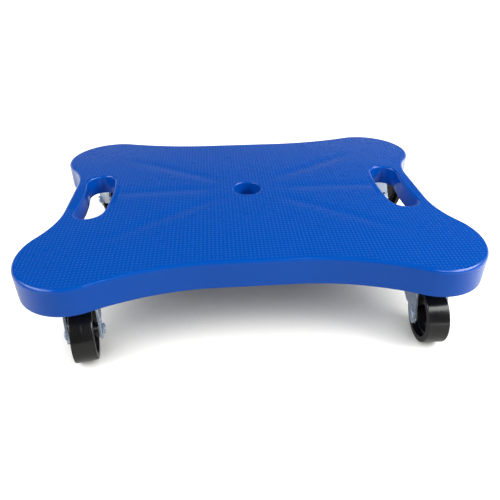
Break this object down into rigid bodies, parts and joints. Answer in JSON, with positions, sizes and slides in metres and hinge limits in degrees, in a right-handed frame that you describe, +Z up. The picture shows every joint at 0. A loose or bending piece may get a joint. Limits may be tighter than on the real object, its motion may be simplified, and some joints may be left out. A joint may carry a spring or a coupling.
{
  "type": "scooter board",
  "caption": "Low rectangular plastic riding board with rounded lobed corners, hand slots at both ends and a centre hole, carried on swivel casters.",
  "frame": {"origin": "on the floor under the middle of the deck", "axes": "+X along the deck's length towards the right-hand slot, +Y towards the back long side, +Z up out of the riding face"},
  "size_m": [0.4089, 0.3035, 0.0929],
  "materials": {
    "deck_plastic": "moulded blue plastic, fine raised dot texture on the top, smooth glossy sides",
    "zinc_steel": "bright zinc-plated pressed steel",
    "ball_steel": "polished bearing balls",
    "wheel_plastic": "hard black moulded plastic, glossy, with a parting line round the tread"
  },
  "bodies": {
    "root": {"deck": "deck_plastic", "front_left_mounting_plate": "zinc_steel", "front_left_race_cup": "zinc_steel", "front_left_ball_ring": "ball_steel", "front_left_kingpin": "zinc_steel", "front_left_screw_1": "zinc_steel", "front_left_screw_2": "zinc_steel", "front_left_screw_3": "zinc_steel", "front_left_screw_4": "zinc_steel", "front_right_mounting_plate": "zinc_steel", "front_right_race_cup": "zinc_steel", "front_right_ball_ring": "ball_steel", "front_right_kingpin": "zinc_steel", "front_right_screw_1": "zinc_steel", "front_right_screw_2": "zinc_steel", "front_right_screw_3": "zinc_steel", "front_right_screw_4": "zinc_steel", "back_left_mounting_plate": "zinc_steel", "back_left_race_cup": "zinc_steel", "back_left_ball_ring": "ball_steel", "back_left_kingpin": "zinc_steel", "back_left_screw_1": "zinc_steel", "back_left_screw_2": "zinc_steel", "back_left_screw_3": "zinc_steel", "back_left_screw_4": "zinc_steel", "back_right_mounting_plate": "zinc_steel", "back_right_race_cup": "zinc_steel", "back_right_ball_ring": "ball_steel", "back_right_kingpin": "zinc_steel", "back_right_screw_1": "zinc_steel", "back_right_screw_2": "zinc_steel", "back_right_screw_3": "zinc_steel", "back_right_screw_4": "zinc_steel"},
    "front_left_fork": {"front_left_fork": "zinc_steel", "front_left_axle_sleeve": "zinc_steel", "front_left_axle_bolt": "zinc_steel", "front_left_axle_nut": "zinc_steel"},
    "front_left_wheel": {"front_left_wheel": "wheel_plastic"},
    "front_right_fork": {"front_right_fork": "zinc_steel", "front_right_axle_sleeve": "zinc_steel", "front_right_axle_bolt": "zinc_steel", "front_right_axle_nut": "zinc_steel"},
    "front_right_wheel": {"front_right_wheel": "wheel_plastic"},
    "back_left_fork": {"back_left_fork": "zinc_steel", "back_left_axle_sleeve": "zinc_steel", "back_left_axle_bolt": "zinc_steel", "back_left_axle_nut": "zinc_steel"},
    "back_left_wheel": {"back_left_wheel": "wheel_plastic"},
    "back_right_fork": {"back_right_fork": "zinc_steel", "back_right_axle_sleeve": "zinc_steel", "back_right_axle_bolt": "zinc_steel", "back_right_axle_nut": "zinc_steel"},
    "back_right_wheel": {"back_right_wheel": "wheel_plastic"}
  },
  "joints": [
    {"name": "front_left_swivel", "type": "hinge", "parent": "root", "child": "front_left_fork", "pos_m": [-0.1543, -0.10115, 0.052], "axis": [0, 0, 1], "continuous": true},
    {"name": "front_left_roll", "type": "hinge", "parent": "front_left_fork", "child": "front_left_wheel", "pos_m": [-0.14928, -0.12697, 0.025], "axis": [0.9816, 0.1908, 0], "continuous": true},
    {"name": "front_right_swivel", "type": "hinge", "parent": "root", "child": "front_right_fork", "pos_m": [0.1543, -0.10115, 0.052], "axis": [0, 0, 1], "continuous": true},
    {"name": "front_right_roll", "type": "hinge", "parent": "front_right_fork", "child": "front_right_wheel", "pos_m": [0.15338, -0.12743, 0.025], "axis": [0.9994, -0.0349, 0], "continuous": true},
    {"name": "back_left_swivel", "type": "hinge", "parent": "root", "child": "back_left_fork", "pos_m": [-0.1543, 0.10115, 0.052], "axis": [0, 0, 1], "continuous": true},
    {"name": "back_left_roll", "type": "hinge", "parent": "back_left_fork", "child": "back_left_wheel", "pos_m": [-0.16665, 0.12437, 0.025], "axis": [-0.8829, -0.4695, 0], "continuous": true},
    {"name": "back_right_swivel", "type": "hinge", "parent": "root", "child": "back_right_fork", "pos_m": [0.1543, 0.10115, 0.052], "axis": [0, 0, 1], "continuous": true},
    {"name": "back_right_roll", "type": "hinge", "parent": "back_right_fork", "child": "back_right_wheel", "pos_m": [0.18046, 0.1039, 0.025], "axis": [-0.1045, 0.9945, 0], "continuous": true}
  ]
}
